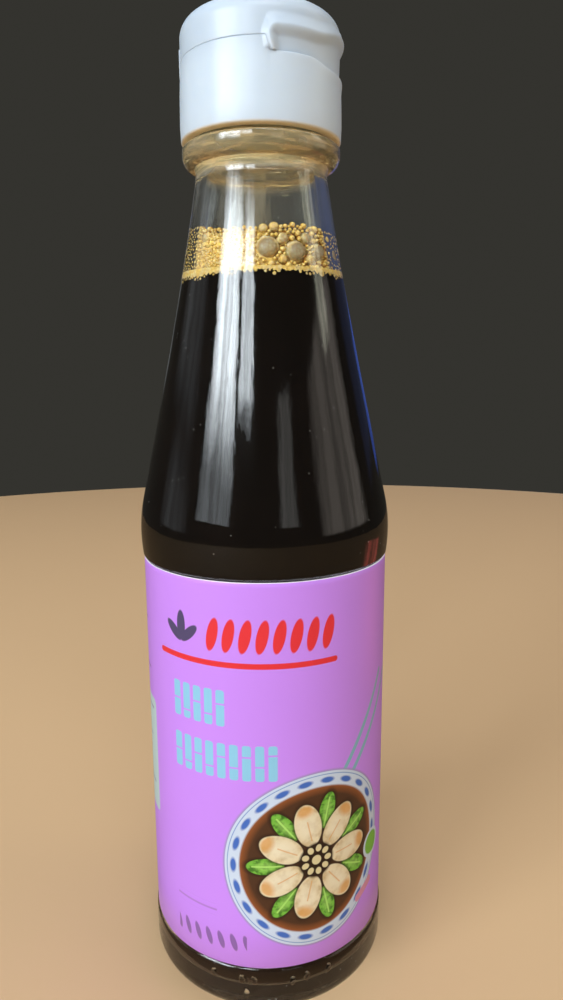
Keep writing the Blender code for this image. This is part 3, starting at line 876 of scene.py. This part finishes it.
def make_sauce():
    """The sauce, which reaches just into the wall, with a raised rim at its surface."""
    side = hollow_profile(LIQUID_LEVEL + MENISCUS, -WALL_BITE)
    edge = side[0][0]
    surface = [(0.0, LIQUID_LEVEL), (edge - 3.0, LIQUID_LEVEL), (edge - 1.2, LIQUID_LEVEL + 0.12)]
    surface += [(edge - 0.4, LIQUID_LEVEL + 0.45)]
    return revolve("sauce", surface + side)


def left_sag(azimuth):
    """How far the foam's lower edge sags about the left, from 0 to 1."""
    return smooth((60.0 - abs(azimuth + 75.0)) / 40.0)


def right_sag(azimuth):
    """How far the foam's lower edge sags towards the right, in millimetres."""
    return 0.3 * smooth((azimuth - 45.0) / 25.0)


def foam_places():
    """Azimuth, height and radius of every bubble on the wall, packed by trial."""
    random = np.random.default_rng(FOAM_SEED)
    bubbles = list(LARGE_BUBBLES)
    for _ in range(WALL_TRIES):
        azimuth = random.uniform(-180.0, 180.0)
        top = FOAM_TOP + 0.5 * math.sin(math.radians(azimuth * 3.0))
        top -= 0.4 * math.cos(math.radians(azimuth - 60.0))
        bottom = LIQUID_LEVEL - 0.7 * left_sag(azimuth) - 0.4 * smooth(math.sin(azimuth * 0.21))
        bottom -= right_sag(azimuth)
        height = random.uniform(bottom, top)
        coarse = smooth(1.0 - abs(azimuth - COARSE_AZIMUTH) / 70.0)
        radius = random.uniform(0.22, 0.5) + coarse * random.uniform(0.0, 0.8) ** 2
        if height + radius > top + 0.5:
            continue
        scale = math.radians(1.0) * (cone_radius(height) - WALL)
        if all(
            math.hypot((azimuth - a) * scale, height - h) > 0.86 * (radius + r)
            for a, h, r in bubbles
            if abs(height - h) < 4.0 and abs(azimuth - a) < 14.0
        ):
            bubbles.append((azimuth, height, radius))
    return bubbles


def add_bubble(store, centre, outward, radius, tone):
    """Adds a bubble's points and faces; where it meets the wall it is flattened on it."""
    points, faces, rims, tones, domes = store
    body = bmesh.new()
    detail = 4 if radius > 1.4 else 3 if radius > 0.7 else 2
    bmesh.ops.create_icosphere(body, subdivisions=detail, radius=1.0)
    first = len(points)
    for vertex in body.verts:
        direction = vertex.co.normalized()
        spot = centre + direction * radius
        room = cone_radius(min(spot.z, NECK_HEIGHT)) - WALL + WALL_BITE + 0.03
        out = math.hypot(spot.x, spot.y)
        if out > room:
            spot.x *= room / out
            spot.y *= room / out
        points.append((spot.x * MM, spot.y * MM, spot.z * MM))
        facing = direction.dot(outward)
        rims.append(math.sqrt(max(0.0, 1.0 - facing * facing)) if facing > 0.0 else 1.0)
        tones.append(tone)
        domes.append(radius * max(0.0, facing))
    faces += [[first + vertex.index for vertex in face.verts] for face in body.faces]
    body.free()


def add_wall_bubbles(store):
    """Adds the bubbles on the wall, which stand out more where the foam ends below."""
    for azimuth, height, radius in foam_places():
        angle = math.radians(azimuth)
        outward = Vector((math.sin(angle), -math.cos(angle), 0.0))
        sunk = 0.82 - 0.35 * smooth((145.2 - height) / 1.0)
        room = cone_radius(height) - WALL - sunk * radius
        centre = outward * room + Vector((0.0, 0.0, height))
        add_bubble(store, centre, outward, radius, smooth((radius - 0.7) / 0.8))


def add_top_bubbles(store):
    """Adds the bubbles on top, in a spiral, with the larger ones about the middle."""
    random = np.random.default_rng(FOAM_SEED + 1)
    up = Vector((0.0, 0.0, 1.0))
    for i in range(TOP_BUBBLES):
        out = TOP_REACH * math.sqrt((i + 0.5) / TOP_BUBBLES)
        angle = i * GOLDEN_ANGLE
        radius = random.uniform(0.35, 0.8) + 0.5 * smooth(1.0 - out / 8.0) * random.uniform(0.0, 1.0)
        height = TOP_LEVEL - 0.6 * radius + random.uniform(-0.2, 0.2)
        centre = Vector((out * math.sin(angle), -out * math.cos(angle), height))
        add_bubble(store, centre, up, radius, smooth((radius - 0.6) / 0.9))


def foam_core():
    """The solid middle of the foam, hollowed behind the largest bubbles, with the fringe."""
    bottom = LIQUID_LEVEL - 0.3
    profile = [(0.0, CORE_TOP), (cone_radius(CORE_TOP) - WALL - CORE_GAP, CORE_TOP)]
    profile += [(cone_radius(LIQUID_LEVEL) - WALL - CORE_GAP, bottom), (0.0, bottom)]

    def hollowed(azimuth, r, z):
        coarse = smooth(1.0 - abs(turn_from(azimuth, COARSE_AZIMUTH)) / 50.0)
        return (r - CORE_HOLLOW * coarse, z)

    core = revolve("foam_core", profile, shape=hollowed)
    join(core, foam_fringe())
    return core


def make_foam():
    """Foam round the inside of the neck and over the sauce, as many bubbles on a solid core."""
    store = ([], [], [], [], [])
    add_wall_bubbles(store)
    add_top_bubbles(store)
    points, faces, rims, tones, domes = store
    foam = add_mesh("foam_bubbles", points, faces)
    core = foam_core()
    rest = np.ones(len(core.data.vertices))
    for name, values, at_rest in (("rim", rims, 0.6), ("tone", tones, 0.0), ("dome", domes, 0.0)):
        for obj, stored in ((foam, values), (core, rest * at_rest)):
            attribute = obj.data.attributes.new(name, "FLOAT", "POINT")
            attribute.data.foreach_set("value", np.array(stored, np.float32))
    smooth_shade(foam, 180.0)
    return foam, core


def foam_fringe():
    """Froth on the wall just under the surface, a thin ring with a scalloped lower edge."""
    random = np.random.default_rng(FOAM_SEED + 2)
    low = []
    while len(low) < FRINGE_STEPS:
        width = int(random.integers(4, 14))
        drop = random.uniform(0.1, 0.45)
        low += [drop + 0.03 * width * math.sin(math.pi * (i + 0.5) / width) for i in range(width)]
    wall = cone_radius(FRINGE_TOP) - WALL

    def scalloped(azimuth, r, z):
        step = int(round((azimuth + 180.0) * FRINGE_STEPS / 360.0)) % FRINGE_STEPS
        depth = 0.3 + 0.6 * left_sag(azimuth) + low[step] + right_sag(azimuth)
        height = FRINGE_TOP - z * depth
        return (cone_radius(height) - WALL + (r - wall), height)

    outer = WALL_BITE + 0.015
    section = [(-0.4, 0.0), (outer, 0.0), (outer, 0.5), (outer, 0.93), (-0.03, 1.0), (-0.4, 0.97)]
    profile = [(wall + outward, share) for outward, share in section]
    azimuths = np.linspace(-180.0, 180.0, FRINGE_STEPS, endpoint=False)
    return revolve("foam_fringe", profile, azimuths, scalloped, closed=True)


def make_label():
    """The paper label, lying on the glass, with the end of the wrap over its start at the back."""

    def lapped(azimuth, r, z):
        single = abs(turn_from(azimuth, OVERLAP_AZIMUTH)) >= OVERLAP_HALF_ANGLE
        return (r - PAPER_STEP * (single and r > LABEL_INNER_RADIUS + 0.1), z)

    edges = (OVERLAP_AZIMUTH - OVERLAP_HALF_ANGLE, OVERLAP_AZIMUTH + OVERLAP_HALF_ANGLE)
    azimuths = EVEN_AZIMUTHS + [edge + d for edge in edges for d in (-0.15, 0.15)]
    inside = LABEL_INNER_RADIUS
    outside = LABEL_RADIUS
    profile = [(inside, LABEL_TOP), (outside - 0.05, LABEL_TOP), (outside, LABEL_TOP - 0.06)]
    profile += straight((outside, LABEL_TOP - 1.0), (outside, LABEL_BOTTOM + 1.0), 10)
    profile += [(outside, LABEL_BOTTOM + 0.06), (outside - 0.05, LABEL_BOTTOM), (inside, LABEL_BOTTOM)]
    return revolve("label_wrap", profile, sorted(azimuths), lapped, closed=True)


def cap_fold(azimuth):
    """Azimuth folded about the lip's middle, so that both its ends lie at the left one's place."""
    return LIP_AZIMUTH - abs(turn_from(azimuth, LIP_AZIMUTH))


def lip_edge(folded):
    """Height of the thumb lip's lower edge."""
    return LIP_EDGE + 1.6 * smooth((folded - 38.0) / 34.0)


def scoop_bottom(folded):
    """Height of the lower edge of the scoop under the lip."""
    return SCOOP_BOTTOM - 0.9 * smooth((folded - 34.0) / 20.0)


def end_azimuth(height):
    """Where the scoop ends at the left; its end leans a little."""
    return LIP_AZIMUTH - LIP_HALF_ANGLE + 1.0 - (height - 183.0) * 0.7


def seam_height(azimuth):
    """Height of the seam: level, and down along the lower edge of the scoop."""
    folded = cap_fold(azimuth)
    inside = smooth((folded - end_azimuth(SEAM_HEIGHT) + 2.5) / 3.5)
    return SEAM_HEIGHT + (scoop_bottom(folded) - SEAM_HEIGHT) * inside


def relief(azimuth, z):
    """How far the cap's side stands out: the lip round the scoop's top and ends, and the scoop."""
    folded = cap_fold(azimuth)
    edge = lip_edge(folded)
    bottom = scoop_bottom(folded)
    left = (end_azimuth(z) - folded) * math.radians(LID_RADIUS)
    middle = smooth((folded - 30.0) / 40.0)
    if z < bottom:
        return (0.12 + 0.2 * middle) * smooth((0.3 - left) / 2.5) * math.exp(-(((bottom - z) / 1.5) ** 2))
    beyond = (max(left + LIP_TURN_IN, 0.0), max(z - edge + LIP_TURN_IN, 0.0))
    away = math.hypot(*beyond) - LIP_TURN_IN
    if away >= 0.0:
        reach = 2.0 - 0.7 * smooth((left + 0.5) / 1.0)
        return LIP_OUT * max(0.0, 1.0 - away / reach) ** 1.4 * smooth((z - bottom + 0.1) / 0.9)
    depth = (SCOOP_DEPTH - 0.35 * middle) * min(1.0, (edge - z) / (edge - bottom)) ** 0.8
    share = smooth(-away / LIP_TURN_IN)
    return LIP_OUT * (1.0 - share) - depth * share


def lip_shape(azimuth, r, z):
    """Moves a point of the lid's side: down to the seam, out into the lip and in at the scoop."""
    seam = seam_height(azimuth)
    top = TOTAL_HEIGHT - LID_TOP_ROUND
    if r < LID_INNER_EDGE + 0.01 or z > top:
        return (r, z)
    moved = seam + (z - SEAM_HEIGHT) * (top - seam) / (top - SEAM_HEIGHT)
    share = min(1.0, (r - LID_INNER_EDGE) / 0.5)
    return (r + relief(azimuth, max(moved, scoop_bottom(cap_fold(azimuth)))) * share, moved)


def make_lid():
    """The shut lid with its thumb lip and hinge strap."""
    bottom = SEAM_HEIGHT + SEAM_LINE / 2
    round_bottom = TOTAL_HEIGHT - LID_TOP_ROUND
    profile = [(0.0, TOTAL_HEIGHT), (FLAT_RING, TOTAL_HEIGHT)]
    profile += arc((LID_RADIUS - LID_TOP_ROUND, round_bottom), LID_TOP_ROUND, 90.0, 0.0, 20)
    profile += straight((LID_RADIUS, round_bottom - 0.1), (LID_RADIUS, bottom + SEAM_ROUND), 28)
    profile += arc((LID_RADIUS - SEAM_ROUND, bottom + SEAM_ROUND), SEAM_ROUND, 0.0, -90.0, 4)
    profile += [(r, bottom) for r in (LID_INNER_EDGE + 0.1, LID_INNER_EDGE, FLAT_RING, 0.0)]
    lid = revolve("lid", profile, finer_azimuths(), lip_shape)
    join(lid, hinge_strap())
    smooth_shade(lid, 35.0)
    return lid


def finer_azimuths():
    """Azimuths round the cap, closer together at the ends of the lip and of the hinge's pocket."""
    ends = (LIP_AZIMUTH - LIP_HALF_ANGLE, LIP_AZIMUTH + LIP_HALF_ANGLE)
    azimuths = EVEN_AZIMUTHS + [end + d for end in ends for d in np.linspace(-8.0, 8.0, 40)]
    azimuths += [HINGE_AZIMUTH + side * (POCKET_HALF_ANGLE + d) for side in (-1, 1) for d in (-0.1, 0.1)]
    return sorted(set(round(a % 360.0, 3) for a in azimuths))


def hinge_strap():
    """The hinge strap: part of a ring with rounded edges, sunk in the lid's side."""
    steps = 24
    edge = 0.25
    inner = HINGE_INNER_RADIUS
    outer = HINGE_OUTER_RADIUS
    section = [(inner, HINGE_TOP), (outer - edge, HINGE_TOP), (outer, HINGE_TOP - edge)]
    section += [(outer, HINGE_BOTTOM + edge), (outer - edge, HINGE_BOTTOM), (inner, HINGE_BOTTOM)]
    points = []
    for turn in np.linspace(-HINGE_HALF_ANGLE, HINGE_HALF_ANGLE, steps + 1):
        points += [place(HINGE_AZIMUTH + turn, r, z) for r, z in section]
    size = len(section)
    faces = [list(range(size))[::-1], [steps * size + i for i in range(size)]]
    for i in range(steps):
        for j in range(size):
            k = (j + 1) % size
            faces.append([i * size + j, i * size + k, (i + 1) * size + k, (i + 1) * size + j])
    return add_mesh("strap", points, faces)


def join(obj, other):
    """Moves another object's mesh into the object's."""
    body = bmesh.new()
    body.from_mesh(obj.data)
    body.from_mesh(other.data)
    body.to_mesh(obj.data)
    body.free()
    bpy.data.objects.remove(other, do_unlink=True)


def recess_shape(azimuth, r, z):
    """Moves a point of the skirt's side: down to the seam, and in behind the hinge strap."""
    low = HINGE_BOTTOM - 5.0
    if r < RIM_INNER_EDGE + 0.01 or z < low:
        return (r, z)
    if abs(turn_from(azimuth, HINGE_AZIMUTH)) < POCKET_HALF_ANGLE and z > HINGE_BOTTOM - SEAM_GAP:
        return (min(r, HINGE_INNER_RADIUS - SEAM_GAP), z)
    moved = z + (seam_height(azimuth) - SEAM_HEIGHT) * (z - low) / (SEAM_HEIGHT - low)
    bottom = scoop_bottom(cap_fold(azimuth))
    outward = relief(azimuth, min(moved, bottom - 0.01) if moved < bottom + 0.2 else moved)
    return (r + outward * min(1.0, (r - RIM_INNER_EDGE) / 0.5), moved)


def make_skirt():
    """The cap's skirt and deck."""
    top = SEAM_HEIGHT - SEAM_LINE / 2
    rim_centre = (CAP_TOP_RADIUS - SEAM_ROUND, top - SEAM_ROUND)
    bottom_centre = (CAP_BOTTOM_RADIUS - CAP_EDGE, CAP_BOTTOM + CAP_EDGE)
    middle = (CAP_BELLY_RADIUS - 0.07, (CAP_BELLY_HEIGHT + top) / 2)
    inner = CAP_INNER_RADIUS
    deck = FINISH_TOP + 0.3
    profile = [(r, top) for r in (0.0, FLAT_RING, RIM_INNER_EDGE, RIM_INNER_EDGE + 0.2)]
    profile += arc(rim_centre, SEAM_ROUND, 90.0, 0.0, 5)
    profile += straight((CAP_TOP_RADIUS, top - 2.0 * SEAM_ROUND), middle, 40)
    profile += straight(middle, (CAP_BELLY_RADIUS, CAP_BELLY_HEIGHT), 10)
    profile += [(CAP_BELLY_RADIUS, CAP_BELLY_HEIGHT)]
    profile += arc(bottom_centre, CAP_EDGE, 0.0, -90.0, 8)
    profile += [(inner, CAP_BOTTOM), (inner, deck - 0.1), (inner - 0.1, deck), (0.0, deck)]
    skirt = revolve("cap_skirt", profile, finer_azimuths(), recess_shape)
    smooth_shade(skirt, 35.0)
    return skirt


def dress(obj, material, slot, *nodes):
    """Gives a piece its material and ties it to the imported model."""
    obj.data.materials.clear()
    obj.data.materials.append(material)
    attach(obj, "root")
    if nodes:
        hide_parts(*nodes)


def make_bottle():
    """Every piece of the bottle."""
    glass = make_glass()
    glass.visible_shadow = False
    dress(glass, glass_material(), "clear_glass", "bottle")
    dress(make_sauce(), sauce_material(), "dark_sauce", "soy_sauce")
    foam, core = make_foam()
    foam_look = foam_material()
    dress(foam, foam_look, "golden_foam", "foam")
    dress(core, foam_look, "golden_foam")
    dress(make_label(), label_material(), "label_paper", "label")
    plastic = plastic_material()
    dress(make_skirt(), plastic, "white_plastic", "cap")
    dress(make_lid(), plastic, "white_plastic", "cap_lid")


def make_floor():
    """A plain pale floor, and a brown card on it that only reflections see, as painted shade on the floor
    in reflections.
    """
    body = bmesh.new()
    bmesh.ops.create_circle(body, cap_ends=True, segments=128, radius=FLOOR_RADIUS)
    mesh = bpy.data.meshes.new("floor")
    body.to_mesh(mesh)
    body.free()
    floor = add_object("floor", mesh)
    floor.data.materials.append(new_material("floor_pale", FLOOR_PALE, 0.6)[0])
    card = revolve("card", CARD_RING)
    card.data.materials.append(new_material("card_painted_shade", SHADE_CARD_BROWN, 0.8)[0])
    for rays in ("camera", "diffuse", "transmission", "shadow"):
        setattr(card, "visible_" + rays, False)


def add_panel(
    name, azimuths, distance, heights, radiance, colour, soft, strips=0.0, ramp=(0.0, 0.08), fall=0.92
):
    """A soft light panel that faces the bottle, between two azimuths and two heights in metres."""
    azimuth = sum(azimuths) / 2
    data = bpy.data.lights.new(name, "AREA")
    data.shape = "RECTANGLE"
    data.size = 2.0 * distance * math.tan(math.radians(abs(azimuths[1] - azimuths[0])) / 2)
    data.size_y = heights[1] - heights[0]
    data.energy = radiance * math.pi * data.size * data.size_y
    data.color = colour
    fade_edges(data, soft, strips, ramp, fall)
    panel = bpy.data.objects.new(name, data)
    angle = math.radians(azimuth)
    panel.location = (distance * math.sin(angle), -distance * math.cos(angle), sum(heights) / 2)
    panel.rotation_euler = (math.radians(90.0), 0.0, angle)
    panel.visible_camera = False
    bpy.context.scene.collection.objects.link(panel)
    return panel


def fade_edges(data, soft, strips, ramp, fall):
    """Fades a panel towards its edges, and lets its strength vary across it in upright strips."""
    data.use_nodes = True
    tree = data.node_tree
    where = Field(tree, tree.nodes.new("ShaderNodeNewGeometry").outputs["Parametric"])
    across, up, _ = split(where)
    strength = across.step(0.0, soft) * across.step(1.0, 1.0 - soft)
    strength = strength * (up.step(*ramp) + PANEL_LOW_SHARE) * up.step(1.0, fall)
    if strips:
        bands = noise(joined(across, up), 5.0, stretch=(1.0, 0.05, 1.0))
        strength = strength * (bands.step(0.35, 0.6) * strips + (1.0 - strips))
    fill(tree.nodes["Emission"], Strength=strength)


def make_light():
    """A tall soft panel at the left front, dim panels round the sides, and a soft light overhead."""
    scene = bpy.context.scene
    scene.view_settings.view_transform = "Standard"
    world = bpy.data.worlds.new("studio")
    scene.world = world
    world.use_nodes = True
    fill(world.node_tree.nodes["Background"], Color=(*WORLD, 1.0))
    panels = {name: add_panel(name, *settings) for name, *settings in PANELS}
    panels["red_low"].visible_diffuse = False
    data = bpy.data.lights.new("overhead", "AREA")
    data.size = 0.9
    data.energy = OVERHEAD_WATTS
    overhead = bpy.data.objects.new("overhead", data)
    overhead.location = (0.0, 0.1, 1.2)
    overhead.visible_camera = False
    scene.collection.objects.link(overhead)


def make_camera():
    """The camera, where the photograph was taken from."""
    data = bpy.data.cameras.new("camera")
    data.sensor_width = 36.0
    data.lens = FOCAL_PIXELS / PICTURE_PIXELS * data.sensor_width
    data.clip_start = 0.01
    camera = bpy.data.objects.new("camera", data)
    bpy.context.scene.collection.objects.link(camera)
    matrix = Matrix.Translation(CAMERA_PLACE)
    for angle, axis in ((-CAMERA_YAW, "Z"), (math.pi / 2 - CAMERA_PITCH, "X"), (CAMERA_ROLL, "Z")):
        matrix = matrix @ Matrix.Rotation(angle, 4, axis)
    camera.matrix_world = matrix
    bpy.context.scene.camera = camera


make_bottle()
make_floor()
make_light()
make_camera()
